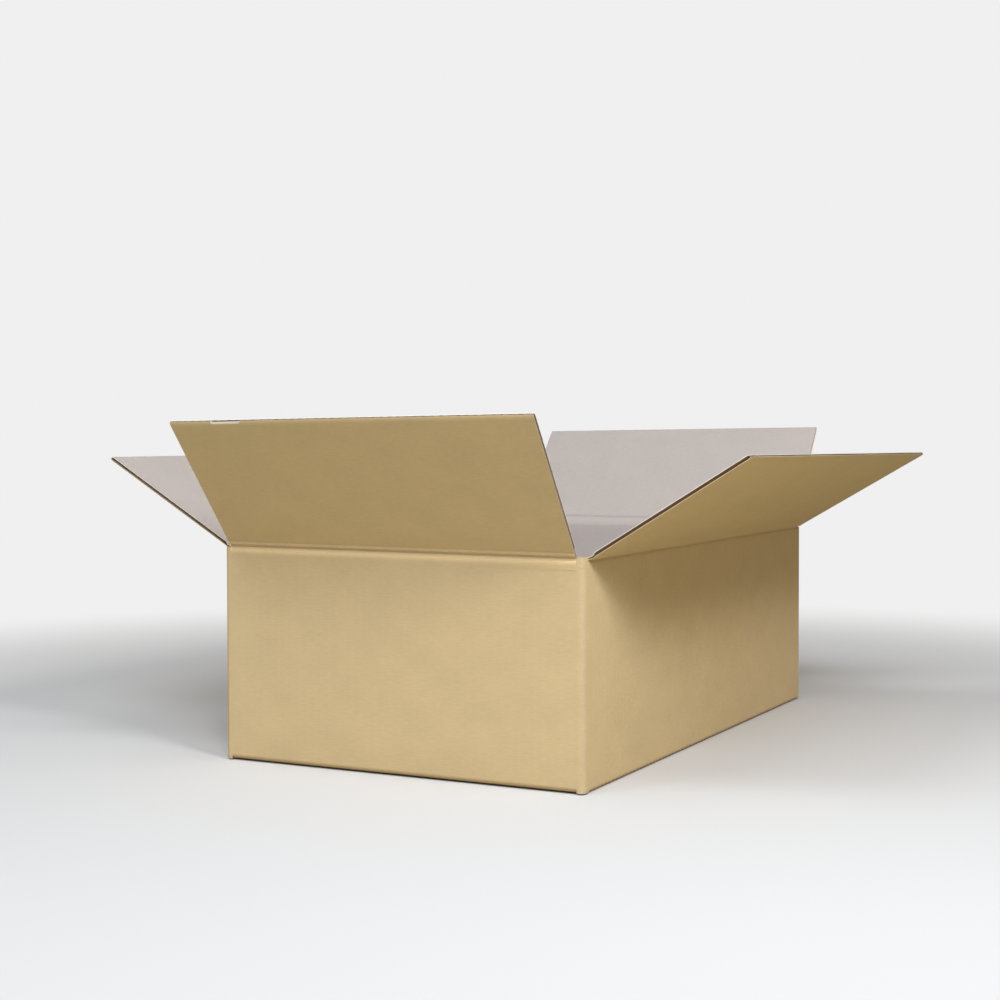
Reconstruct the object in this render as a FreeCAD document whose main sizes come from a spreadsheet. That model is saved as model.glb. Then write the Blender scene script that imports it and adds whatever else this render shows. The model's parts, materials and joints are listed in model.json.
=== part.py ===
import FreeCAD, Part
import math
import os
import Sketcher

# An open slotted carton of single-wall corrugated board, erected and left open.
# The blank is one sheet: four walls, a glued seam tab and glued bottom flaps make the body, and
# four top flaps swing on their creases. Millimetres, with +Z up. The origin is on the floor under
# the middle of the carton, and the long walls run along Y.

SIZES = {
    "outer_width": (300, "outside, across the two long walls"),
    "outer_length": (495, "outside, across the two short walls"),
    "long_fold": (165.2, "height of the long walls, up to their top creases"),
    "board": (3, "thickness of the corrugated board"),
    "stack_gap": (0.2, "room between the closed inner flaps and the closed outer flaps"),
    "short_reach": (118, "front and back flap, from crease to free edge"),
    "long_reach": (136, "left and right flap, from crease to free edge"),
    "short_inset": (5.5, "from a corner to the side edge of a front or back flap"),
    "long_inset": (8, "from a corner to the side edge of a left or right flap"),
    "slot_overcut": (1, "how far the slots run on past the lower creases"),
    "fold_gap": (0.3, "room between a wall's bevelled top and the flap on it"),
    "fold_radius": (3.5, "outer radius of a right-angled fold"),
    "short_opening_deg": (37, "front and back flap, outwards from upright"),
    "long_opening_deg": (59, "left and right flap, outwards from upright"),
    "bottom_seam": (2, "gap between the free edges of the outer bottom flaps"),
    "tab_width": (35, "seam tab, from its fold to its free edge"),
    "tab_taper": (9, "how much each end of the seam tab narrows towards its free edge"),
    "tab_margin": (5, "seam tab's distance from the closed flaps above and below it"),
    "seam_relief": (0.5, "slit between the seam tab's fold and the back wall's cut edge"),
    "flute_pitch": (6.5, "from one flute to the next"),
    "liner": (0.4, "thickness of each facing sheet"),
    "medium": (0.3, "thickness of the fluted sheet where it lies against a liner"),
    "web": (0.45, "width of the fluted sheet between two neighbouring flutes"),
    "crest": (1, "width of a flute at its narrow side"),
    "crushed_band": (7, "band beside a crease where the flutes are pressed shut"),
}

HALF_WIDTH = "Sizes.outer_width / 2"
HALF_LENGTH = "Sizes.outer_length / 2"
SHORT_FOLD = "(Sizes.long_fold - Sizes.board - Sizes.stack_gap)"
SLOT_FLOOR = f"({SHORT_FOLD} - Sizes.slot_overcut)"
SHORT_WIDTH = "(Sizes.outer_width - 2 * Sizes.short_inset)"
LONG_WIDTH = "(Sizes.outer_length - 2 * Sizes.long_inset)"
BOTTOM_REACH = "(Sizes.outer_width - Sizes.bottom_seam) / 2"

doc = FreeCAD.newDocument("open_carton")
sheet = doc.addObject("Spreadsheet::Sheet", "Sizes")
for row, (alias, (number, note)) in enumerate(SIZES.items(), start=1):
    sheet.set(f"A{row}", note)
    sheet.set(f"B{row}", str(number))
    sheet.setAlias(f"B{row}", alias)
doc.recompute()


def measure(expression):
    """The value of an expression over the sheet's sizes."""
    return float(sheet.evalExpression(expression))


def new_body(name):
    body = doc.addObject("PartDesign::Body", name)
    body.Label = name
    return body


def flat_sketch(body, name, role, height="0"):
    """A sketch parallel to one of the body's own origin planes, raised along its normal."""
    sketch = body.newObject("Sketcher::SketchObject", name)
    plane = next(item for item in body.Origin.OriginFeatures if item.Role == role)
    sketch.AttachmentSupport = [(plane, "")]
    sketch.MapMode = "FlatFace"
    sketch.setExpression("AttachmentOffset.Base.z", height)
    return sketch


def outline(sketch, corners):
    """Draw a closed outline whose corners are dimensioned from the sketch's origin."""
    points = [FreeCAD.Vector(measure(x), measure(y), 0) for x, y in corners]
    first = sketch.GeometryCount
    count = len(corners)
    for index, point in enumerate(points):
        sketch.addGeometry(Part.LineSegment(point, points[(index + 1) % count]))
    for index in range(count):
        following = first + (index + 1) % count
        sketch.addConstraint(Sketcher.Constraint("Coincident", first + index, 2, following, 1))
    for index, (corner, point) in enumerate(zip(corners, points)):
        for kind, expression, distance in zip(("DistanceX", "DistanceY"), corner, point):
            constraint = Sketcher.Constraint(kind, -1, 1, first + index, 1, distance)
            number = sketch.addConstraint(constraint)
            sketch.setExpression(f"Constraints[{number}]", expression)


def pad(body, sketch, name, length, both_ways=False):
    feature = body.newObject("PartDesign::Pad", name)
    feature.Profile = sketch
    feature.Midplane = both_ways
    feature.setExpression("Length", length)
    doc.recompute()
    return feature


def pocket(body, sketch, name, length, upwards=False):
    """Cut a sketch into the body, and make sure that material went."""
    before = body.Shape.Volume
    feature = body.newObject("PartDesign::Pocket", name)
    feature.Profile = sketch
    feature.Reversed = upwards
    feature.setExpression("Length", length)
    doc.recompute()
    if body.Shape.Volume >= before:
        raise RuntimeError(f"{name} cuts nothing")
    return feature


def round_edges(body, name, radius, belongs):
    """Round the edges whose middle point and direction pass the given test."""
    base = body.Tip
    chosen = []
    for number, edge in enumerate(base.Shape.Edges, start=1):
        if edge.Curve.TypeId == "Part::GeomLine" and belongs(edge.CenterOfMass, edge.Curve.Direction):
            chosen.append(f"Edge{number}")
    feature = body.newObject("PartDesign::Fillet", name)
    feature.Base = (base, chosen)
    feature.setExpression("Radius", radius)
    doc.recompute()
    return feature


def near(first, second):
    return math.isclose(first, second, abs_tol=0.01)


# Body of the carton

carton = new_body("carton_body")
half_width = measure(HALF_WIDTH)
half_length = measure(HALF_LENGTH)


def folded_side(side, half_span, fold, foot):
    """A wall and its bottom flap in section: bevelled top, square fold, flap on the foot level."""
    wall = f"{side} * {half_span}"
    inside = f"{side} * ({half_span} - Sizes.board)"
    bevel = f"{side} * ({half_span} - Sizes.fold_gap)"
    free_edge = f"{side} * ({half_span} - {BOTTOM_REACH})"
    return [
        (wall, foot),
        (wall, f"{fold} - Sizes.fold_gap"),
        (bevel, f"{fold} - Sizes.fold_gap"),
        (inside, f"{fold} - Sizes.board"),
        (inside, f"{foot} + Sizes.board"),
        (free_edge, f"{foot} + Sizes.board"),
        (free_edge, foot),
    ]


# The long walls fold in under the carton, and their bottom flaps rest on the floor.
long_section = flat_sketch(carton, "LongSection", "XZ_Plane")
for side in (-1, 1):
    outline(long_section, folded_side(side, HALF_WIDTH, "Sizes.long_fold", "0"))
pad(carton, long_section, "LongWalls", LONG_WIDTH, both_ways=True)
round_edges(carton, "LongFolds", "Sizes.fold_radius",
            lambda middle, way: near(abs(middle.x), half_width) and near(middle.z, 0))

# The short walls' bottom flaps lie inside, glued down on the long ones.
short_section = flat_sketch(carton, "ShortSection", "YZ_Plane")
for side in (-1, 1):
    outline(short_section, folded_side(side, HALF_LENGTH, SHORT_FOLD, "Sizes.board"))
pad(carton, short_section, "ShortWalls", SHORT_WIDTH, both_ways=True)
inner_level = measure("Sizes.board")
round_edges(carton, "ShortFolds", "Sizes.fold_radius",
            lambda middle, way: near(abs(middle.y), half_length) and near(middle.z, inner_level))

# The corners stand between the slots of the blank, which part the flaps above and below.
corner_section = flat_sketch(carton, "CornerSection", "XY_Plane", "Sizes.slot_overcut")
for side in (-1, 1):
    for end in (-1, 1):
        outline(corner_section, [
            (f"{side} * {HALF_WIDTH}", f"{end} * {HALF_LENGTH}"),
            (f"{side} * {HALF_WIDTH}", f"{end} * ({HALF_LENGTH} - Sizes.long_inset)"),
            (f"{side} * ({HALF_WIDTH} - Sizes.board)", f"{end} * ({HALF_LENGTH} - Sizes.long_inset)"),
            (f"{side} * ({HALF_WIDTH} - Sizes.board)", f"{end} * ({HALF_LENGTH} - Sizes.board)"),
            (f"{side} * ({HALF_WIDTH} - Sizes.short_inset)", f"{end} * ({HALF_LENGTH} - Sizes.board)"),
            (f"{side} * ({HALF_WIDTH} - Sizes.short_inset)", f"{end} * {HALF_LENGTH}"),
        ])
pad(carton, corner_section, "Corners", f"{SLOT_FLOOR} - Sizes.slot_overcut")

# The seam tab folds off the left wall and is glued inside the back wall.
tab_face = flat_sketch(carton, "TabFace", "XZ_Plane", f"-({HALF_LENGTH} - Sizes.board)")
tab_low = "(2 * Sizes.board + Sizes.tab_margin)"
tab_high = f"({SHORT_FOLD} - Sizes.board - Sizes.tab_margin)"
outline(tab_face, [
    (f"Sizes.board - {HALF_WIDTH}", tab_low),
    (f"Sizes.board + Sizes.tab_width - {HALF_WIDTH}", f"{tab_low} + Sizes.tab_taper"),
    (f"Sizes.board + Sizes.tab_width - {HALF_WIDTH}", f"{tab_high} - Sizes.tab_taper"),
    (f"Sizes.board - {HALF_WIDTH}", tab_high),
])
pad(carton, tab_face, "SeamTab", "Sizes.board")

# The back wall's cut edge covers the tab's fold, and the two stand a slit apart.
slit_section = flat_sketch(carton, "SlitSection", "XY_Plane")
slit_depth = f"Sizes.fold_radius + Sizes.seam_relief - {HALF_WIDTH}"
outline(slit_section, [
    (f"-{HALF_WIDTH}", f"{HALF_LENGTH} - Sizes.board - Sizes.seam_relief"),
    (slit_depth, f"{HALF_LENGTH} - Sizes.board - Sizes.seam_relief"),
    (slit_depth, f"{HALF_LENGTH} - Sizes.board"),
    (f"-{HALF_WIDTH}", f"{HALF_LENGTH} - Sizes.board"),
])
pocket(carton, slit_section, "SeamSlit", "Sizes.long_fold", upwards=True)
tab_fold = measure(f"{HALF_LENGTH} - Sizes.board - Sizes.seam_relief")


def is_upright_fold(middle, way):
    if not near(abs(way.z), 1) or not near(abs(middle.x), half_width):
        return False
    at_seam = middle.x < 0 < middle.y
    return near(middle.y, tab_fold) if at_seam else near(abs(middle.y), half_length)


round_edges(carton, "UprightFolds", "Sizes.fold_radius", is_upright_fold)


# Top flaps

def cut_flutes(flap, width, reach):
    """Open the flutes from the free edge down to the band that the crease has crushed.

    They alternate between the two liners. The pitch is eased so that a whole number fits the
    width, and the first and last flute are cut through by the side edges, as the slotter leaves them.
    """
    count = f"round({width} / Sizes.flute_pitch)"
    pitch = f"({width} / {count})"
    wide = f"({pitch} / 2 - Sizes.crest / 2 - Sizes.web)"
    narrow = "Sizes.crest / 2"
    outer_side = "Sizes.liner"
    inner_side = "Sizes.board - Sizes.liner"
    # Each row: its first flute's centre, the liner it opens on, the level of its crest, its number.
    rows = {
        "OuterFlutes": (f"-{width} / 2", outer_side, f"{inner_side} - Sizes.medium", f"{count} + 1"),
        "InnerFlutes": (f"({pitch} - {width}) / 2", inner_side, f"{outer_side} + Sizes.medium", count),
    }
    for name, (centre, base, crest, number) in rows.items():
        end_face = flat_sketch(flap, f"{name}Section", "XY_Plane", reach)
        outline(end_face, [
            (f"{centre} - {wide}", base),
            (f"{centre} - {narrow}", crest),
            (f"{centre} + {narrow}", crest),
            (f"{centre} + {wide}", base),
        ])
        flute = pocket(flap, end_face, f"{name}First", f"{reach} - Sizes.crushed_band")
        row = flap.newObject("PartDesign::LinearPattern", name)
        row.Originals = [flute]
        row.Direction = (end_face, ["H_Axis"])
        row.Mode = "Spacing"
        row.setExpression("Offset", pitch)
        row.setExpression("Occurrences", number)
        flap.Tip = row
        doc.recompute()


def top_flap(name, width, reach, crease, turn, opening):
    """A flap upright on its crease, outer face at y = 0, then turned to its wall and swung out."""
    flap = new_body(name)
    section = flat_sketch(flap, "Section", "YZ_Plane")
    outline(section, [
        ("0", "Sizes.fold_gap"),
        ("0", reach),
        ("Sizes.board", reach),
        ("Sizes.board", "Sizes.board + Sizes.fold_gap"),
    ])
    pad(flap, section, "Sheet", width, both_ways=True)
    cut_flutes(flap, width, reach)
    x, y, z = crease
    flap.setExpression("Placement", f"placement(vector({x}; {y}; {z}); rotation({turn}; 0; {opening}))")
    return flap


flaps = [
    top_flap("front_flap", SHORT_WIDTH, "Sizes.short_reach",
             ("0", f"-{HALF_LENGTH}", SHORT_FOLD), 0, "Sizes.short_opening_deg"),
    top_flap("back_flap", SHORT_WIDTH, "Sizes.short_reach",
             ("0", HALF_LENGTH, SHORT_FOLD), 180, "Sizes.short_opening_deg"),
    top_flap("right_flap", LONG_WIDTH, "Sizes.long_reach",
             (HALF_WIDTH, "0", "Sizes.long_fold"), 90, "Sizes.long_opening_deg"),
    top_flap("left_flap", LONG_WIDTH, "Sizes.long_reach",
             (f"-{HALF_WIDTH}", "0", "Sizes.long_fold"), -90, "Sizes.long_opening_deg"),
]

# Checks and files

doc.recompute()
for item in doc.Objects:
    if "Invalid" in item.State or "Error" in item.State:
        raise RuntimeError(f"{item.Label} failed: {item.State}")
os.makedirs("parts", exist_ok=True)
for body in [carton, *flaps]:
    shape = body.Shape
    if shape.isNull() or not shape.isValid() or len(shape.Solids) != 1:
        raise RuntimeError(f"{body.Label} is not one valid solid")
    shape.exportStep(f"parts/{body.Label}.step")
    print(body.Label, round(shape.Volume), shape.BoundBox)
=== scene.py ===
import bmesh
import bpy
import json
import math
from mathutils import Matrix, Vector


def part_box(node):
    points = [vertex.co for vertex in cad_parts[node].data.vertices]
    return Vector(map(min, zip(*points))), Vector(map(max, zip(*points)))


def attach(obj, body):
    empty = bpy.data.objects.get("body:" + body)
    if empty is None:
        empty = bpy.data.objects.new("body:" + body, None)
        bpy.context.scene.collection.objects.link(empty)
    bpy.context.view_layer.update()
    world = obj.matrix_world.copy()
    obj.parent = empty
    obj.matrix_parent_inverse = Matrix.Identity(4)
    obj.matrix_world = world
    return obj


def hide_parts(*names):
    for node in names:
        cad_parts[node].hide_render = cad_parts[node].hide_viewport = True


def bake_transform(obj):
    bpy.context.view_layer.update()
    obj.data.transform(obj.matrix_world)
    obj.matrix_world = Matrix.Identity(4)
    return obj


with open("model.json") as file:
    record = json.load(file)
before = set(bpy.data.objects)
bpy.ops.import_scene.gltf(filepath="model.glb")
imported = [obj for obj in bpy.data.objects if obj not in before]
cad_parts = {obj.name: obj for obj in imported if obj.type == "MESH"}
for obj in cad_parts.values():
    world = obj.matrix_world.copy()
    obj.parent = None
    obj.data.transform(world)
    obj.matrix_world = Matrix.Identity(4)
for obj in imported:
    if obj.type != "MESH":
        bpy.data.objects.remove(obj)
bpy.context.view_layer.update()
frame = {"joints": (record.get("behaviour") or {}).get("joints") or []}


# Outer liner of the walls and bottom flaps. One run of brown kraft paper: a seam tab, then the left,
# front, right and back walls with a rounded upright fold between each two. Four bottom flaps are
# folded under and glued, the short pair first and the long pair over it.

BOARD = 0.003
LINER = 0.0004
FOLD = 0.0035
SHORT_BAND = 0.0080
LONG_BAND = 0.0085
SHORT_SLOT = 0.0055
LONG_SLOT = 0.008
POST_FOOT = 0.001
POST_STANDS = 0.001
TAB = 0.035
TAB_TAPER = 0.009
TAB_FOOT = 0.011
TAB_TOP = 0.154
SHORT_BOTTOM_REACH = 0.149
LONG_BOTTOM_GAP = 0.001
SAGGED_FOLD = 0.0014
RESTING_FLAP = BOARD + 0.00005
ROW_LEVELS = (0.030, 0.055, 0.080, 0.105, 0.130)
ROWS_ACROSS = 0.03
ROWS_ALONG = 0.05
BELLY_LEVEL = 0.08
LONG_BELLY = {"spots": (-0.15, 0, 0.15), "push": 0.0007, "size": 0.075}
SHORT_BELLY = {"spots": (-0.06, 0.06), "push": 0.0006, "size": 0.072}
PANEL = 0.4
PITCH = 0.0065
PRINT_THROUGH = 0.00002
TOOTH = 0.00005
KRAFT_BROWN = (0.66, 0.515, 0.305)
WORN_KRAFT = (0.57, 0.445, 0.29)
CUT_KRAFT = (0.60, 0.49, 0.33)

low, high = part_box("carton_body")
half_x = (high.x - low.x) / 2
half_y = (high.y - low.y) / 2
joints = {joint["name"]: joint for joint in frame["joints"]}
LONG_CREASE = joints["right_crease"]["pos_m"][2]
SHORT_CREASE = joints["front_crease"]["pos_m"][2]
POST_TOP = SHORT_CREASE + POST_STANDS


def pick(piece, kind, test):
    """Select a piece's vertices, edges or faces in edit mode by their middle point."""
    bpy.ops.mesh.select_mode(type=kind)
    mesh = bmesh.from_edit_mesh(piece.data)
    for item in [*mesh.verts, *mesh.edges, *mesh.faces]:
        item.select_set(False)
    for item in {"VERT": mesh.verts, "EDGE": mesh.edges, "FACE": mesh.faces}[kind]:
        corners = [item] if kind == "VERT" else item.verts
        middle = sum((corner.co for corner in corners), Vector()) / len(corners)
        if test(middle, item):
            item.select_set(True)
    mesh.select_flush_mode()
    bmesh.update_edit_mesh(piece.data)


def cut_across(spot, direction):
    """Cut a row of edges through all of the piece in edit mode."""
    bpy.ops.mesh.select_all(action="SELECT")
    bpy.ops.mesh.bisect(plane_co=spot, plane_no=direction)


def remove_faces(piece, test):
    """Cut away the faces that pass a test."""
    pick(piece, "FACE", test)
    bpy.ops.mesh.delete(type="FACE")


def turn_corner(centre, axis, degrees, steps):
    """Carry the picked edges round a rounded fold."""
    bpy.ops.mesh.spin(steps=steps, angle=math.radians(degrees), center=centre, axis=axis)


def run_on(x, y, z):
    """Carry the picked edges straight on to the end of a panel."""
    bpy.ops.mesh.extrude_region_move(TRANSFORM_OT_translate={"value": (x, y, z)})


def trim_tab(piece, fold_x, tab_y):
    """Taper the seam tab towards its free edge."""
    def on_tab(middle, face):
        return abs(middle.y - tab_y) < BOARD * 0.5 and middle.x > fold_x and abs(face.normal.z) < 0.1

    for height, sign in ((TAB_TOP, 1), (TAB_FOOT, -1)):
        normal = Vector((TAB_TAPER, 0, sign * TAB)).normalized()
        start = Vector((fold_x, tab_y, height))
        pick(piece, "FACE", on_tab)
        bpy.ops.mesh.bisect(plane_co=start, plane_no=normal)
        remove_faces(piece, lambda middle, face: on_tab(middle, face)
                     and (middle - start).dot(normal) > 0)


def wall_run(name, inset, radius, steps):
    """One liner of the walls and bottom flaps, at a depth inside the carton's outer faces."""
    x, y = half_x - inset, half_y - inset
    tab_y = y - BOARD
    tab_end = BOARD + TAB - half_x
    fold_x = radius - x
    bpy.ops.object.select_all(action="DESELECT")
    bpy.ops.mesh.primitive_plane_add(
        size=1, location=((tab_end + fold_x) / 2, tab_y, (POST_FOOT + POST_TOP) / 2),
        rotation=(math.pi / 2, 0, 0))
    piece = bpy.context.object
    piece.name = name
    piece.scale = (tab_end - fold_x, POST_TOP - POST_FOOT, 1)
    bpy.ops.object.transform_apply(location=True, rotation=True, scale=True)
    bpy.ops.object.mode_set(mode="EDIT")
    pick(piece, "EDGE", lambda middle, edge: abs(middle.x - fold_x) < 1e-5)
    up = (0, 0, 1)
    turn_corner((fold_x, tab_y - radius, 0), up, -90, steps)
    run_on(0, 2 * radius - y - tab_y, 0)
    turn_corner((radius - x, radius - y, 0), up, -90, steps)
    run_on(2 * (x - radius), 0, 0)
    turn_corner((x - radius, radius - y, 0), up, -90, steps)
    run_on(0, 2 * (y - radius), 0)
    turn_corner((x - radius, y - radius, 0), up, -90, steps)
    run_on(radius - half_x - x, 0, 0)

    # The slots of the blank free the bottom flaps and the bands that the top flaps' creases fill.
    for side in (-1, 1):
        cut_across((side * (half_x - SHORT_SLOT), 0, 0), (1, 0, 0))
        cut_across((0, side * (half_y - LONG_SLOT), 0), (0, 1, 0))
    long_foot = inset + radius
    short_foot = SAGGED_FOLD + inset + radius
    long_top = LONG_CREASE - LONG_BAND
    short_top = SHORT_CREASE - SHORT_BAND
    for level in (long_foot, short_foot, long_top, short_top):
        cut_across((0, 0, level), (0, 0, 1))

    def on_short(middle):
        return abs(middle.y) > y - 1e-4 and abs(middle.x) < half_x - SHORT_SLOT

    def on_long(middle):
        return abs(middle.x) > x - 1e-4 and abs(middle.y) < half_y - LONG_SLOT

    remove_faces(piece, lambda middle, face: on_short(middle)
                 and not short_foot < middle.z < short_top)
    remove_faces(piece, lambda middle, face: on_long(middle)
                 and not long_foot < middle.z < long_top)
    for side in (-1, 1):
        pick(piece, "EDGE", lambda middle, edge: middle.x * side > 0 and on_long(middle)
             and abs(middle.z - long_foot) < 1e-5)
        turn_corner((side * (x - radius), 0, long_foot), (0, side, 0), -90, steps)
        run_on(side * (LONG_BOTTOM_GAP - x + radius), 0, 0)
        pick(piece, "EDGE", lambda middle, edge: middle.y * side > 0 and on_short(middle)
             and abs(middle.z - short_foot) < 1e-5)
        turn_corner((0, side * (y - radius), short_foot), (-side, 0, 0), -90, steps)
        run_on(0, side * (half_y - LONG_SLOT - y + radius), RESTING_FLAP - SAGGED_FOLD)
        run_on(0, side * (LONG_SLOT - SHORT_BOTTOM_REACH), 0)
    trim_tab(piece, fold_x, tab_y)
    bpy.ops.mesh.select_all(action="SELECT")
    bpy.ops.mesh.normals_make_consistent(inside=False)
    for level in ROW_LEVELS:
        cut_across((0, 0, level), (0, 0, 1))
    for step in range(-4, 5):
        cut_across((step * ROWS_ACROSS, 0, 0), (1, 0, 0))
        cut_across((0, step * ROWS_ALONG, 0), (0, 1, 0))
    bpy.ops.object.mode_set(mode="OBJECT")
    return piece


def press_spot(piece, spot, push, size):
    """Push the board at a spot, and let the push die away smoothly round it."""
    bpy.ops.object.mode_set(mode="EDIT")
    spot = Vector(spot)
    nearest = min((vertex.co - spot).length for vertex in bmesh.from_edit_mesh(piece.data).verts)
    pick(piece, "VERT", lambda middle, vertex: (middle - spot).length < nearest + 1e-6)
    bpy.ops.transform.translate(
        value=push, use_proportional_edit=True, proportional_edit_falloff="SMOOTH",
        proportional_size=size)
    bpy.ops.object.mode_set(mode="OBJECT")


def belly(piece):
    """Each wall stands out very slightly between its folds."""
    for side in (-1, 1):
        for along in LONG_BELLY["spots"]:
            press_spot(piece, (side * half_x, along, BELLY_LEVEL),
                       (side * LONG_BELLY["push"], 0, 0), LONG_BELLY["size"])
        for along in SHORT_BELLY["spots"]:
            press_spot(piece, (along, side * half_y, BELLY_LEVEL),
                       (0, side * SHORT_BELLY["push"], 0), SHORT_BELLY["size"])


def finish_with(piece, kind, **settings):
    """Add a modifier with its settings and apply it."""
    bpy.ops.object.select_all(action="DESELECT")
    piece.select_set(True)
    bpy.context.view_layer.objects.active = piece
    modifier = piece.modifiers.new(kind.title(), kind)
    for key, value in settings.items():
        setattr(modifier, key, value)
    bpy.ops.object.modifier_apply(modifier=modifier.name)


def give_thickness(piece, thickness, side, paper, cut_paper):
    """Turn a sheet into paper of its own thickness, with the cut edges in their own finish."""
    piece.data.materials.append(paper)
    piece.data.materials.append(cut_paper)
    finish_with(piece, "SOLIDIFY", thickness=thickness, offset=side, use_even_offset=True,
                material_offset_rim=1)
    bpy.ops.object.shade_smooth_by_angle(angle=math.radians(30))


def lay_out(piece, place):
    """Give each corner its place on the flat blank: across the flutes, and along them."""
    layer = piece.data.uv_layers.active or piece.data.uv_layers.new(name="blank")
    layer.name = "blank"
    for face in piece.data.polygons:
        for corner in face.loop_indices:
            vertex = piece.data.vertices[piece.data.loops[corner].vertex_index]
            layer.data[corner].uv = place(vertex.co, face.normal)


def unroll(place, normal):
    """A wall's or bottom flap's place on the blank, the panels side by side round the carton."""
    if abs(normal.z) > 0.7:
        if place.z < BOARD * 0.9:
            across = PANEL + place.y if place.x > 0 else 3 * PANEL - place.y
            return across, abs(place.x) - half_x - LONG_CREASE
        across = place.x if place.y < 0 else 2 * PANEL - place.x
        return across, abs(place.y) - half_y - LONG_CREASE
    if abs(normal.y) > abs(normal.x):
        return (place.x if place.y < 0 else 2 * PANEL - place.x), place.z - SHORT_CREASE
    return (PANEL + place.y if place.x > 0 else 3 * PANEL - place.y), place.z - LONG_CREASE


def mark(piece, name, strength):
    """Paint how far each point lies in a worn fold, or in a band of painted highlight."""
    layer = piece.data.attributes.new(name, "FLOAT", "POINT")
    for vertex in piece.data.vertices:
        layer.data[vertex.index].value = strength(vertex.co)


def in_wall_fold(place):
    """Strongest halfway round an upright fold or a fold under the carton, none where it ends."""
    over_x = max(0, abs(place.x) - half_x + FOLD)
    over_y = max(0, abs(place.y) - half_y + FOLD)
    under_long = max(0, FOLD - place.z)
    under_short = max(0, SAGGED_FOLD + FOLD - place.z)
    pairs = ((over_x, over_y), (over_x, under_long), (over_y, under_short))
    return max(math.sin(2 * math.atan2(first, second)) if first and second else 0
               for first, second in pairs)


def paper_effect():
    """Cloudy fibre tone, specks, scuffed folds, a painted highlight, and tooth, from a place on the
    blank.
    """
    group = bpy.data.node_groups.new("paper_fibre", "ShaderNodeTree")
    sockets = group.interface
    # The Stretch input carries a painted highlight.
    for name, kind in (("Blank", "NodeSocketVector"), ("Colour", "NodeSocketColor"),
                       ("Worn Colour", "NodeSocketColor"), ("Fold", "NodeSocketFloat"),
                       ("Stretch", "NodeSocketFloat"), ("Cloud", "NodeSocketFloat"),
                       ("Fleck", "NodeSocketFloat")):
        sockets.new_socket(name=name, in_out="INPUT", socket_type=kind)
    for name, kind in (("Colour", "NodeSocketColor"), ("Height", "NodeSocketFloat"),
                       ("Roughness", "NodeSocketFloat")):
        sockets.new_socket(name=name, in_out="OUTPUT", socket_type=kind)
    nodes, links = group.nodes, group.links
    start = nodes.new("NodeGroupInput")
    end = nodes.new("NodeGroupOutput")

    def noise(scale, stretch, detail, rough):
        place = nodes.new("ShaderNodeMapping")
        place.inputs["Scale"].default_value = stretch
        texture = nodes.new("ShaderNodeTexNoise")
        texture.inputs["Scale"].default_value = scale
        texture.inputs["Detail"].default_value = detail
        texture.inputs["Roughness"].default_value = rough
        links.new(start.outputs["Blank"], place.inputs["Vector"])
        links.new(place.outputs["Vector"], texture.inputs["Vector"])
        return texture.outputs["Fac"]

    def math_node(kind, *values):
        node = nodes.new("ShaderNodeMath")
        node.operation = kind
        for socket, value in zip(node.inputs, values):
            if isinstance(value, (int, float)):
                socket.default_value = value
            else:
                links.new(value, socket)
        return node.outputs["Value"]

    def ramp(value, low_end, high_end, low_value, high_value):
        node = nodes.new("ShaderNodeMapRange")
        node.inputs["From Min"].default_value = low_end
        node.inputs["From Max"].default_value = high_end
        node.inputs["To Min"].default_value = low_value
        node.inputs["To Max"].default_value = high_value
        links.new(value, node.inputs["Value"])
        return node.outputs["Result"]

    cloud = ramp(noise(30, (1, 1.4, 1), 4, 0.6), 0.3, 0.7, -1, 1)
    fibre = ramp(noise(420, (0.35, 2.2, 1), 3, 0.65), 0.3, 0.7, -1, 1)
    speck = ramp(noise(1500, (0.6, 1.6, 1), 1, 0.5), 0.69, 0.78, 0, 1)
    tone = math_node("MULTIPLY_ADD", cloud, start.outputs["Cloud"], 1)
    tone = math_node("MULTIPLY_ADD", fibre, 0.045, tone)
    # The Stretch input is a painted highlight: it makes the tone paler where light catches the ledge
    # under a short flap's crease.
    tone = math_node("MULTIPLY_ADD", start.outputs["Stretch"], 0.36, tone)
    tone = math_node("SUBTRACT", tone, math_node("MULTIPLY", speck, start.outputs["Fleck"]))
    scuff = ramp(noise(260, (1, 1, 1), 3, 0.7), 0.35, 0.65, 0.35, 1)
    mix = nodes.new("ShaderNodeMix")
    mix.data_type = "RGBA"
    links.new(math_node("MULTIPLY", scuff, start.outputs["Fold"]), mix.inputs["Factor"])
    links.new(start.outputs["Colour"], mix.inputs["A"])
    links.new(start.outputs["Worn Colour"], mix.inputs["B"])
    paint = nodes.new("ShaderNodeVectorMath")
    paint.operation = "SCALE"
    links.new(mix.outputs["Result"], paint.inputs["Vector"])
    links.new(tone, paint.inputs["Scale"])
    links.new(paint.outputs["Vector"], end.inputs["Colour"])
    links.new(noise(1100, (0.5, 1.6, 1), 4, 0.7), end.inputs["Height"])
    links.new(ramp(cloud, -1, 1, 0.8, 0.92), end.inputs["Roughness"])
    return group


PAPER = paper_effect()


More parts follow.
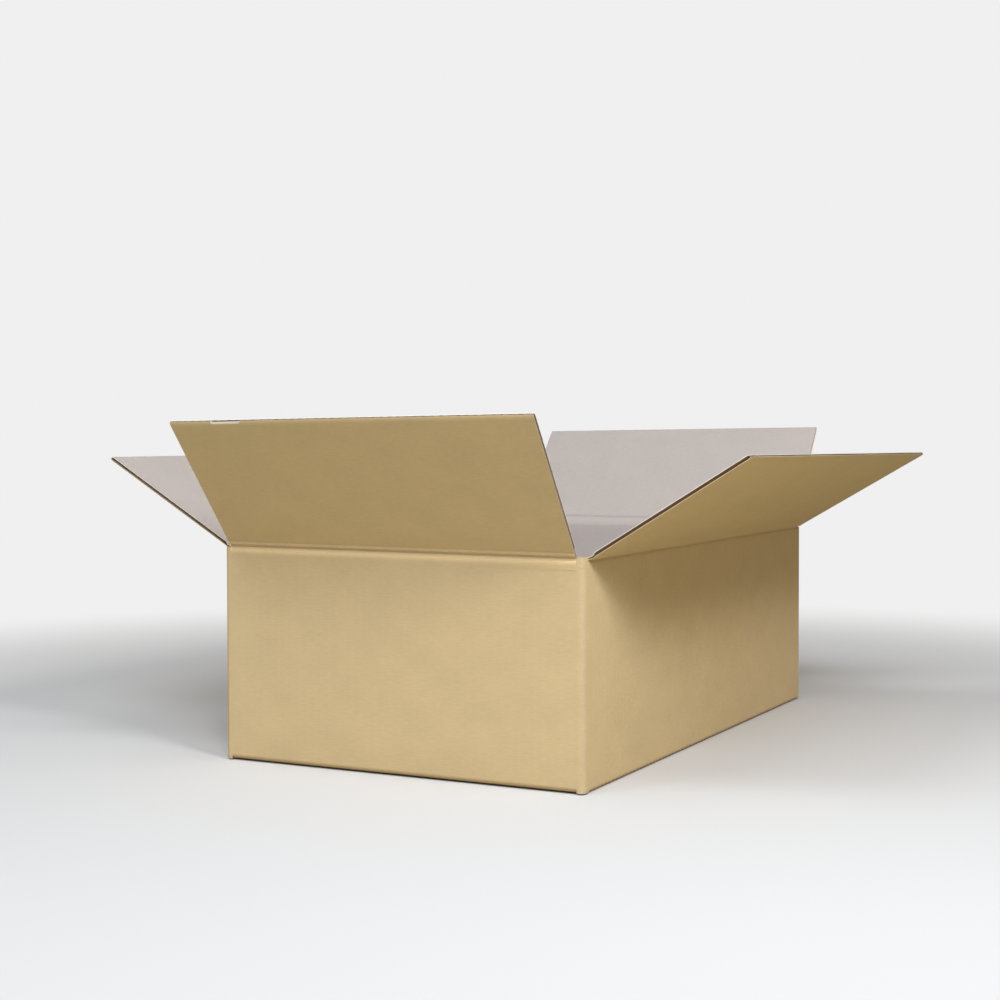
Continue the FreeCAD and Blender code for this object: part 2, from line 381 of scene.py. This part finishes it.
def paper_material(name, colour, worn, cloud, fleck, washboard):
    """A paper layer: fibre tone, worn folds, a painted highlight, and faint lines where the flutes print
    through it.
    """
    material = bpy.data.materials.new(name)
    material.use_nodes = True
    nodes, links = material.node_tree.nodes, material.node_tree.links
    shader = nodes["Principled BSDF"]
    shader.inputs["Specular IOR Level"].default_value = 0.25
    blank = nodes.new("ShaderNodeUVMap")
    blank.uv_map = "blank"
    fibre = nodes.new("ShaderNodeGroup")
    fibre.node_tree = PAPER
    # The stretch attribute carries the painted highlight under the short flaps' creases.
    for paint in ("Fold", "Stretch"):
        painted = nodes.new("ShaderNodeAttribute")
        painted.attribute_name = paint.lower()
        links.new(painted.outputs["Fac"], fibre.inputs[paint])
    fibre.inputs["Colour"].default_value = (*colour, 1)
    fibre.inputs["Worn Colour"].default_value = (*worn, 1)
    fibre.inputs["Cloud"].default_value = cloud
    fibre.inputs["Fleck"].default_value = fleck
    links.new(blank.outputs["UV"], fibre.inputs["Blank"])
    links.new(fibre.outputs["Colour"], shader.inputs["Base Color"])
    links.new(fibre.outputs["Roughness"], shader.inputs["Roughness"])
    tooth = nodes.new("ShaderNodeBump")
    tooth.inputs["Distance"].default_value = TOOTH
    tooth.inputs["Strength"].default_value = 0.8
    links.new(fibre.outputs["Height"], tooth.inputs["Height"])
    links.new(tooth.outputs["Normal"], shader.inputs["Normal"])
    if washboard:
        split = nodes.new("ShaderNodeSeparateXYZ")
        turns = nodes.new("ShaderNodeMath")
        turns.operation = "MULTIPLY"
        turns.inputs[1].default_value = 2 * math.pi / PITCH
        wave = nodes.new("ShaderNodeMath")
        wave.operation = "SINE"
        flutes = nodes.new("ShaderNodeBump")
        flutes.inputs["Distance"].default_value = washboard
        flutes.inputs["Strength"].default_value = 1
        links.new(blank.outputs["UV"], split.inputs["Vector"])
        links.new(split.outputs["X"], turns.inputs[0])
        links.new(turns.outputs["Value"], wave.inputs[0])
        links.new(wave.outputs["Value"], flutes.inputs["Height"])
        links.new(flutes.outputs["Normal"], tooth.inputs["Normal"])
    return material


KRAFT = paper_material("kraft_liner", KRAFT_BROWN, WORN_KRAFT, 0.035, 0.16, PRINT_THROUGH)
KRAFT_EDGE = paper_material("kraft_cut_edge", CUT_KRAFT, CUT_KRAFT, 0.05, 0.1, 0)
kraft_run = wall_run("carton_outer_liner", 0, FOLD, 6)
belly(kraft_run)
lay_out(kraft_run, unroll)
mark(kraft_run, "fold", in_wall_fold)
give_thickness(kraft_run, LINER, -1, KRAFT, KRAFT_EDGE)
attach(kraft_run, "carton")
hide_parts("carton_body")


# Inner liner of the walls and bottom flaps. Bleached paper on the inside of the same run, with
# sharper folds because the board is crushed there.

CREASED = 0.0008
BLEACHED_WHITE = (0.45, 0.405, 0.385)
WORN_BLEACHED = (0.48, 0.44, 0.42)
CUT_BLEACHED = (0.82, 0.79, 0.76)

BLEACHED = paper_material("bleached_liner", BLEACHED_WHITE, WORN_BLEACHED, 0.025, 0.05, PRINT_THROUGH)
BLEACHED_EDGE = paper_material("bleached_cut_edge", CUT_BLEACHED, CUT_BLEACHED, 0.03, 0.05, 0)
pale_run = wall_run("carton_inner_liner", BOARD, CREASED, 3)
belly(pale_run)
lay_out(pale_run, unroll)
give_thickness(pale_run, LINER, 1, BLEACHED, BLEACHED_EDGE)
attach(pale_run, "carton")


# Fluted sheet of the walls and bottom flaps. A brown paper wave glued between the liners, its
# flutes upright in the walls. It shows at the slots, at the seam and at the bottom flaps' ends.

FLUTED = 0.00028
COLUMNS = 8
WALL_ROWS = 8
FLUTING_BROWN = (0.20, 0.135, 0.085)
FLUTING = paper_material("fluting_paper", FLUTING_BROWN, FLUTING_BROWN, 0.05, 0.1, 0)


def fluted_sheet(name, width, bottom, top, rows=1):
    """A waved sheet in the middle of an upright board that faces -Y, flutes upright."""
    columns = round(width / PITCH) * COLUMNS + COLUMNS // 2
    bpy.ops.object.select_all(action="DESELECT")
    bpy.ops.mesh.primitive_grid_add(
        x_subdivisions=columns, y_subdivisions=rows, size=1,
        location=(0, BOARD / 2, (bottom + top) / 2), rotation=(math.pi / 2, 0, 0))
    piece = bpy.context.object
    piece.name = name
    piece.scale = (width, top - bottom, 1)
    bpy.ops.object.transform_apply(location=True, rotation=True, scale=True)
    swing = BOARD / 2 - LINER - FLUTED / 2
    step = width / columns
    bpy.ops.object.mode_set(mode="EDIT")
    for phase in range(COLUMNS):
        pick(piece, "VERT", lambda middle, vertex:
             round((middle.x + width / 2) / step) % COLUMNS == phase)
        shift = swing * math.cos(2 * math.pi * phase / COLUMNS)
        bpy.ops.transform.translate(value=(0, shift, 0))
    bpy.ops.object.mode_set(mode="OBJECT")
    lay_out(piece, lambda place, normal: (place.x, place.z))
    return piece


def notch(piece, level, half_width):
    """Take away the middle of a fluted sheet above a level, where the crease is crushed flat."""
    bpy.ops.object.mode_set(mode="EDIT")
    cut_across((0, 0, level), (0, 0, 1))
    remove_faces(piece, lambda middle, face: middle.z > level and abs(middle.x) < half_width)
    bpy.ops.object.mode_set(mode="OBJECT")


def set_in_place(piece, location, rotation):
    """Turn and move a piece to its place, and keep its origin in the middle of the floor."""
    bpy.ops.object.select_all(action="DESELECT")
    piece.select_set(True)
    bpy.context.view_layer.objects.active = piece
    piece.rotation_euler = [math.radians(angle) for angle in rotation]
    piece.location = location
    bpy.ops.object.transform_apply(location=True, rotation=True, scale=True)


waves = []
for side in (-1, 1):
    wall = fluted_sheet("long_wall_flutes", 2 * (half_y - FOLD), POST_FOOT, POST_TOP, WALL_ROWS)
    notch(wall, LONG_CREASE - LONG_BAND, half_y - LONG_SLOT)
    set_in_place(wall, (side * half_x, 0, 0), (0, 0, side * 90))
    under = fluted_sheet("long_bottom_flutes", 2 * (half_y - LONG_SLOT), LONG_BOTTOM_GAP, half_x - FOLD)
    set_in_place(under, (0, 0, 0), (90, 0, side * 90))
    waves += [wall, under]
    wall = fluted_sheet("short_wall_flutes", 2 * (half_x - FOLD), BOARD + FOLD, POST_TOP, WALL_ROWS)
    notch(wall, SHORT_CREASE - SHORT_BAND, half_x - SHORT_SLOT)
    set_in_place(wall, (0, side * half_y, 0), (0, 0, 90 + side * 90))
    under = fluted_sheet("short_bottom_flutes", 2 * (half_x - SHORT_SLOT),
                         half_y - SHORT_BOTTOM_REACH, half_y - LONG_SLOT - BOARD / 3)
    set_in_place(under, (0, 0, RESTING_FLAP), (90, 0, 90 + side * 90))
    waves += [wall, under]
tab_wave = fluted_sheet("tab_flutes", TAB - 2 * CREASED, POST_FOOT, POST_TOP)
set_in_place(tab_wave, (BOARD + TAB / 2 - half_x, half_y - 2 * BOARD, 0), (0, 0, 0))
bpy.ops.object.mode_set(mode="EDIT")
trim_tab(tab_wave, BOARD - half_x, half_y - 1.5 * BOARD)
bpy.ops.object.mode_set(mode="OBJECT")
waves.append(tab_wave)
for wave in waves:
    wave.select_set(True)
bpy.context.view_layer.objects.active = waves[0]
bpy.ops.object.join()
body_flutes = waves[0]
body_flutes.name = "carton_fluted_sheet"
belly(body_flutes)
give_thickness(body_flutes, FLUTED, 0, FLUTING, FLUTING)
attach(body_flutes, "carton")


# Top flaps, outer liner. The kraft paper runs on from the wall across a pressed crease line that
# is a little off square, and bends outwards there with a bead or a bulge above the line. Each flap
# is slightly twisted, and the front one has a small tear in its free edge.

CREASE_STEP = 0.0006
SHORT_PAIR = {"band": SHORT_BAND, "rows": range(-11, 11), "bend": (-5, 4)}
LONG_PAIR = {"band": LONG_BAND, "rows": range(-4, 13), "bend": (-3, 6)}
FLAPS = {
    "front_flap": {**SHORT_PAIR, "crease": "front_crease", "turn": 0, "across": 0,
                   "line": (0.0010, -0.0059), "opening": 36.7, "twist": -3.4},
    "right_flap": {**LONG_PAIR, "crease": "right_crease", "turn": 90, "across": PANEL,
                   "line": (-0.0037, 0.0052), "opening": 59.3, "twist": 1.1},
    "back_flap": {**SHORT_PAIR, "crease": "back_crease", "turn": 180, "across": 2 * PANEL,
                  "line": (0.0008, 0.0040), "opening": 38.5, "twist": 2.5},
    "left_flap": {**LONG_PAIR, "crease": "left_crease", "turn": -90, "across": 3 * PANEL,
                  "line": (-0.0035, -0.0050), "opening": 59.4, "twist": 0.4},
}
SHORT_LINE = {"size": 0.0006, "middle": 0.0002, "spread": 0.0008}
SHORT_BEAD = {"size": 0.0005, "middle": 0.0023, "spread": 0.0010}
UPPER_LINE = {"size": 0.0003, "middle": 0.0045, "spread": 0.0008}
LEDGE = {"size": 0.0007, "middle": -0.0026, "spread": 0.0022}
LEDGE_TOP = -0.0021
LEDGE_SHARPNESS = 0.00015
WORN_BEAD = {"size": 0.6, "middle": 0.0023, "spread": 0.0012}
# Painted highlight: a paler band just under a short flap's crease line, where light catches the ledge.
PAINTED_LEDGE_HIGHLIGHT = {"size": 1, "middle": -0.0034, "spread": 0.0020}
LONG_LINE = {"size": 0.0008, "middle": 0, "spread": 0.0009}
LONG_FULLNESS = {"size": 0.0003, "middle": 0.0030, "spread": 0.0014}
SHEET_COLUMNS = 24
SHEET_ROWS = (0.2, 0.4, 0.6, 0.8)
EDGE_CRUSH = 0.0007
CRUSH_START = 0.0015
EDGE_ROWS = (CRUSH_START, 0.0042, 0.0065)
TRIM = 0.002
TORN_FLAP = "front_flap"
TEAR = (-0.1090, -0.0840)
TEAR_RAMP = 0.0020
TEAR_DEPTH = 0.0005
TORN_WHITE = (0.88, 0.86, 0.82)
TORN_PAPER = paper_material("torn_paper", TORN_WHITE, TORN_WHITE, 0.05, 0.1, 0)


def hump(height, size, middle, spread):
    """A rounded ridge of a size at a middle height, which is gone a few spreads away from it."""
    return size * math.exp(-((height - middle) / spread) ** 2)


def soft_step(height, middle, spread):
    """None well below the middle, and one well above it."""
    return 1 / (1 + math.exp((middle - height) / spread))


def short_press(height):
    """How far a short flap's liner is pressed in, by its height above the crease line."""
    lines = hump(height, **SHORT_LINE) + hump(height, **UPPER_LINE)
    below_top = 1 - soft_step(height, LEDGE_TOP, LEDGE_SHARPNESS)
    ledge = below_top * hump(min(height, LEDGE["middle"]), **LEDGE)
    return lines - hump(height, **SHORT_BEAD) - ledge


def long_press(height):
    """The same for a long flap: one deep line, and the paper a little full above it."""
    return hump(height, **LONG_LINE) - hump(height, **LONG_FULLNESS)


for name, flap in FLAPS.items():
    turn = math.radians(flap["turn"])
    outward = Vector((math.sin(turn), -math.cos(turn), 0))
    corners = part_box(name)
    place = Vector(joints[flap["crease"]]["pos_m"])
    swung = math.radians(joints[flap["crease"]]["range_deg"][1] - 90)
    far = max(corner.dot(outward) for corner in corners)
    size = corners[1] - corners[0]
    flap["outward"] = outward
    flap["place"] = place + Vector((0, 0, flap["line"][0]))
    flap["reach"] = (far - place.dot(outward)) / math.sin(swung)
    flap["width"] = size.x if abs(outward.x) < 0.5 else size.y


def flap_sheet(name, flap, depth, press):
    """A flat liner of one flap, with rows of edges along its crease line and pressed there."""
    offset, rise = flap["line"]
    foot = -flap["band"] - offset
    start = foot - TRIM
    bpy.ops.object.select_all(action="DESELECT")
    bpy.ops.mesh.primitive_grid_add(
        x_subdivisions=SHEET_COLUMNS, y_subdivisions=1, size=1,
        location=(0, depth, (start + flap["reach"]) / 2), rotation=(math.pi / 2, 0, 0))
    piece = bpy.context.object
    piece.name = name
    piece.scale = (flap["width"], flap["reach"] - start, 1)
    bpy.ops.object.transform_apply(location=True, rotation=True, scale=True)
    bpy.ops.object.mode_set(mode="EDIT")
    for share in SHEET_ROWS:
        cut_across((0, 0, share * flap["reach"]), (0, 0, 1))
    for below in EDGE_ROWS:
        cut_across((0, 0, flap["reach"] - below), (0, 0, 1))
    pick(piece, "VERT", lambda middle, vertex: middle.z > flap["reach"] - 1e-5)
    bpy.ops.transform.translate(value=(0, EDGE_CRUSH if depth < BOARD / 2 else -EDGE_CRUSH, 0))
    cut_across((0, 0, foot), (rise, 0, 1))
    remove_faces(piece, lambda middle, face: middle.z + rise * middle.x < foot)
    for row in flap["rows"]:
        cut_across((0, 0, row * CREASE_STEP), (0, 0, 1))
    for row in flap["rows"]:
        height = row * CREASE_STEP
        pick(piece, "VERT", lambda middle, vertex: abs(middle.z - height) < 1e-5)
        bpy.ops.transform.translate(value=(0, press(height), 0))
    bpy.ops.object.mode_set(mode="OBJECT")
    lay_out(piece, lambda place, normal: (place.x + flap["across"], place.z + offset + rise * place.x))
    return piece


def tear_edge(piece, flap):
    """Lower a short stretch of the free edge, where the paper is torn away."""
    bpy.ops.object.mode_set(mode="EDIT")
    for end, ramp in zip(TEAR, (TEAR_RAMP, -TEAR_RAMP)):
        cut_across((end, 0, 0), (1, 0, 0))
        cut_across((end + ramp, 0, 0), (1, 0, 0))
    pick(piece, "VERT", lambda middle, vertex: middle.z > flap["reach"] - 1.5 * CRUSH_START
         and TEAR[0] + TEAR_RAMP / 2 < middle.x < TEAR[1] - TEAR_RAMP / 2)
    bpy.ops.transform.translate(value=(0, 0, -TEAR_DEPTH))
    bpy.ops.object.mode_set(mode="OBJECT")


def bare_fibres(piece, flap):
    """Bare white fibres just under the free edge, where the brown face of the paper is torn away."""
    piece.data.materials.append(TORN_PAPER)
    piece.active_material_index = 2
    opening = math.radians(flap["opening"])
    lowest = flap["reach"] - TEAR_DEPTH - CRUSH_START
    bpy.ops.object.mode_set(mode="EDIT")
    pick(piece, "FACE", lambda middle, face: face.normal.y < -0.3 and TEAR[0] < middle.x < TEAR[1]
         and middle.z * math.cos(opening) - middle.y * math.sin(opening) > lowest)
    bpy.ops.object.material_slot_assign()
    bpy.ops.object.mode_set(mode="OBJECT")


def swing_out(piece, flap):
    """Bend a flat sheet outwards round its crease line, row by row, and twist it a little."""
    first, last = flap["bend"]
    heights = [vertex.co.z for vertex in piece.data.vertices]
    turned = 0
    bpy.ops.object.mode_set(mode="EDIT")
    for row in range(first + 1, last + 1):
        along = (row - first) / (last - first)
        share = along * along * (3 - 2 * along)
        reached = row * CREASE_STEP - 1e-5
        pick(piece, "VERT", lambda middle, vertex: heights[vertex.index] > reached)
        bpy.ops.transform.rotate(value=-math.radians((share - turned) * flap["opening"]),
                                 orient_axis="X", center_override=(0, 0, 0))
        turned = share
    bpy.ops.object.mode_set(mode="OBJECT")
    finish_with(piece, "SIMPLE_DEFORM", deform_method="TWIST", deform_axis="X",
                angle=math.radians(flap["twist"]))


def at_crease(piece, flap):
    """Set a flap's sheet at its place on the wall, its crease line as far off square as the real one."""
    tilt = -math.degrees(math.atan(flap["line"][1]))
    set_in_place(piece, flap["place"], (0, tilt, flap["turn"]))


def bend_with(piece):
    """Bake a liner's place at its crease into its mesh."""
    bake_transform(piece)


for name, flap in FLAPS.items():
    short = flap["band"] == SHORT_BAND
    kraft = flap_sheet(f"{name}_outer_liner", flap, 0, short_press if short else long_press)
    if name == TORN_FLAP:
        tear_edge(kraft, flap)
    if short:
        mark(kraft, "fold", lambda place: hump(place.z, **WORN_BEAD))
        # The stretch mark is a painted highlight on the ledge under the crease line.
        mark(kraft, "stretch", lambda place: hump(place.z, **PAINTED_LEDGE_HIGHLIGHT))
    swing_out(kraft, flap)
    give_thickness(kraft, LINER, -1, KRAFT, KRAFT_EDGE)
    if name == TORN_FLAP:
        bare_fibres(kraft, flap)
    at_crease(kraft, flap)
    bend_with(kraft)
    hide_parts(name)


# Top flaps, inner liner. The bleached paper is rolled flat in a channel along the crease, which
# ends in a sharp step a few millimetres up the flap.

CHANNEL = 0.0012
CHANNEL_FOOT = -0.0015
CHANNEL_STEP = 0.0061
FOOT_SOFTNESS = 0.0005
STEP_SOFTNESS = 0.0003
CHANNEL_ROWS = range(-5, 16)


def channel(height):
    """How far the inner liner is rolled in, by its height above the crease line."""
    above_foot = soft_step(height, CHANNEL_FOOT, FOOT_SOFTNESS)
    below_step = 1 - soft_step(height, CHANNEL_STEP, STEP_SOFTNESS)
    return -CHANNEL * above_foot * below_step


for name, flap in FLAPS.items():
    inner = {**flap, "rows": CHANNEL_ROWS}
    pale = flap_sheet(f"{name}_inner_liner", inner, BOARD, channel)
    swing_out(pale, inner)
    give_thickness(pale, LINER, 1, BLEACHED, BLEACHED_EDGE)
    at_crease(pale, inner)
    bend_with(pale)


# Top flaps, fluted sheet. The wave is crushed flat at the crease and pinched at the free edge,
# where the board was cut, and it is open between. It swings with its flap.

FLAT_FROM = 0.0012
FLAT_ROWS = (0.0030, 0.0048)
WAVE_FROM = 0.0066
MIDDLE_ROW = 0.06
CUT_BACK = 0.0001
FLATTENED = 0.35
PINCHED = 0.3

for name, flap in FLAPS.items():
    top = flap["reach"] - CUT_BACK
    wave = fluted_sheet(f"{name}_fluted_sheet", flap["width"], FLAT_FROM, top)
    bpy.ops.object.mode_set(mode="EDIT")
    for height in (*FLAT_ROWS, WAVE_FROM, WAVE_FROM + CRUSH_START, MIDDLE_ROW, top - CRUSH_START):
        cut_across((0, 0, height), (0, 0, 1))
    pick(wave, "VERT", lambda middle, vertex: middle.z > top - 1e-5)
    bpy.ops.transform.resize(value=(1, PINCHED, 1), center_override=(0, BOARD / 2, 0))
    pick(wave, "VERT", lambda middle, vertex: middle.z < WAVE_FROM + 1e-5)
    bpy.ops.transform.resize(value=(1, FLATTENED, 1), center_override=(0, BOARD / 6, 0))
    bpy.ops.object.mode_set(mode="OBJECT")
    swing_out(wave, flap)
    give_thickness(wave, FLUTED, 0, FLUTING, FLUTING)
    at_crease(wave, flap)
    bend_with(wave)


# Floor. A wide pale studio floor that keeps the carton's shadow and fades into the background.
# The light that it throws back is a warm tan, like that of the room in the photograph.

FLOOR_SIZE = 60
FLOOR_SEEN = (0.66, 0.67, 0.69)
FLOOR_BOUNCE = (0.475, 0.431, 0.306)
BACKGROUND = 0.87
FADE = (0.5, 1.2)

bpy.ops.object.select_all(action="DESELECT")
bpy.ops.mesh.primitive_plane_add(size=FLOOR_SIZE, location=(0, 0, 0))
floor = bpy.context.object
floor.name = "studio_floor"
pale_floor = bpy.data.materials.new("pale_floor")
pale_floor.use_nodes = True
nodes, links = pale_floor.node_tree.nodes, pale_floor.node_tree.links
shader = nodes["Principled BSDF"]
shader.inputs["Roughness"].default_value = 0.9
shader.inputs["Specular IOR Level"].default_value = 0.1
path = nodes.new("ShaderNodeLightPath")
tone = nodes.new("ShaderNodeMix")
tone.data_type = "RGBA"
tone.inputs["A"].default_value = (*FLOOR_BOUNCE, 1)
tone.inputs["B"].default_value = (*FLOOR_SEEN, 1)
links.new(path.outputs["Is Camera Ray"], tone.inputs["Factor"])
links.new(tone.outputs["Result"], shader.inputs["Base Color"])
place = nodes.new("ShaderNodeTexCoord")
away = nodes.new("ShaderNodeVectorMath")
away.operation = "LENGTH"
links.new(place.outputs["Object"], away.inputs[0])
fade = nodes.new("ShaderNodeMapRange")
fade.interpolation_type = "SMOOTHSTEP"
fade.inputs["From Min"].default_value = FADE[0]
fade.inputs["From Max"].default_value = FADE[1]
links.new(away.outputs["Value"], fade.inputs["Value"])
seen_far = nodes.new("ShaderNodeMath")
seen_far.operation = "MULTIPLY"
links.new(fade.outputs["Result"], seen_far.inputs[0])
links.new(path.outputs["Is Camera Ray"], seen_far.inputs[1])
haze = nodes.new("ShaderNodeEmission")
haze.inputs["Color"].default_value = (BACKGROUND, BACKGROUND, BACKGROUND, 1)
choose = nodes.new("ShaderNodeMixShader")
links.new(seen_far.outputs["Value"], choose.inputs["Fac"])
links.new(shader.outputs["BSDF"], choose.inputs[1])
links.new(haze.outputs["Emission"], choose.inputs[2])
links.new(choose.outputs["Shader"], nodes["Material Output"].inputs["Surface"])
floor.data.materials.append(pale_floor)


# Light. A small key lamp high on the right, a wide cool lamp beside the camera, two high ones on the
# right and left, and a low warm light from all round. The background is a plain pale tone.

AROUND = (0.28, 0.247, 0.201)
AIM = Vector((0, 0, 0.12))

world = bpy.data.worlds.new("studio")
bpy.context.scene.world = world
world.use_nodes = True
nodes, links = world.node_tree.nodes, world.node_tree.links
around = nodes["Background"]
around.inputs["Color"].default_value = (*AROUND, 1)
seen = nodes.new("ShaderNodeBackground")
seen.inputs["Color"].default_value = (BACKGROUND, BACKGROUND, BACKGROUND, 1)
path = nodes.new("ShaderNodeLightPath")
choose = nodes.new("ShaderNodeMixShader")
links.new(path.outputs["Is Camera Ray"], choose.inputs["Fac"])
links.new(around.outputs["Background"], choose.inputs[1])
links.new(seen.outputs["Background"], choose.inputs[2])
links.new(choose.outputs["Shader"], nodes["World Output"].inputs["Surface"])


def lamp(name, azimuth, elevation, distance, size, power, colour):
    """A square soft lamp that faces the carton, placed by its direction from it."""
    turn, rise = math.radians(azimuth), math.radians(elevation)
    way = Vector((math.cos(turn) * math.cos(rise), math.sin(turn) * math.cos(rise), math.sin(rise)))
    light = bpy.data.lights.new(name, "AREA")
    light.size = size
    light.energy = power
    light.color = colour
    item = bpy.data.objects.new(name, light)
    bpy.context.collection.objects.link(item)
    item.location = AIM + way * distance
    item.rotation_euler = way.to_track_quat("Z", "Y").to_euler()


lamp("key_lamp", -37, 38, 1.5, 0.25, 8.7, (1, 0.98, 0.94))
lamp("wide_lamp", -60, 36, 4.0, 1.3, 76, (0.83, 0.895, 1))
lamp("high_lamp", -60, 62, 2.0, 0.7, 5.1, (0.98, 1, 1))
lamp("left_lamp", -115, 58, 2.0, 0.8, 11.3, (0.9, 0.955, 1))


# Camera. It stands in front of the near corner at the photograph's angle, level with the top flaps,
# and looks nearly straight ahead, so that the upright folds stay upright.

LENS = 59.66
SENSOR = 36
CAMERA_PLACE = (0.6147, -1.2732, 0.2373)
CAMERA_TURN = (88.22, 0.14, 27.26)

camera_data = bpy.data.cameras.new("camera")
camera_data.lens = LENS
camera_data.sensor_width = SENSOR
camera = bpy.data.objects.new("camera", camera_data)
bpy.context.collection.objects.link(camera)
camera.location = CAMERA_PLACE
camera.rotation_euler = [math.radians(angle) for angle in CAMERA_TURN]
bpy.context.scene.camera = camera
bpy.context.scene.view_settings.view_transform = "Standard"
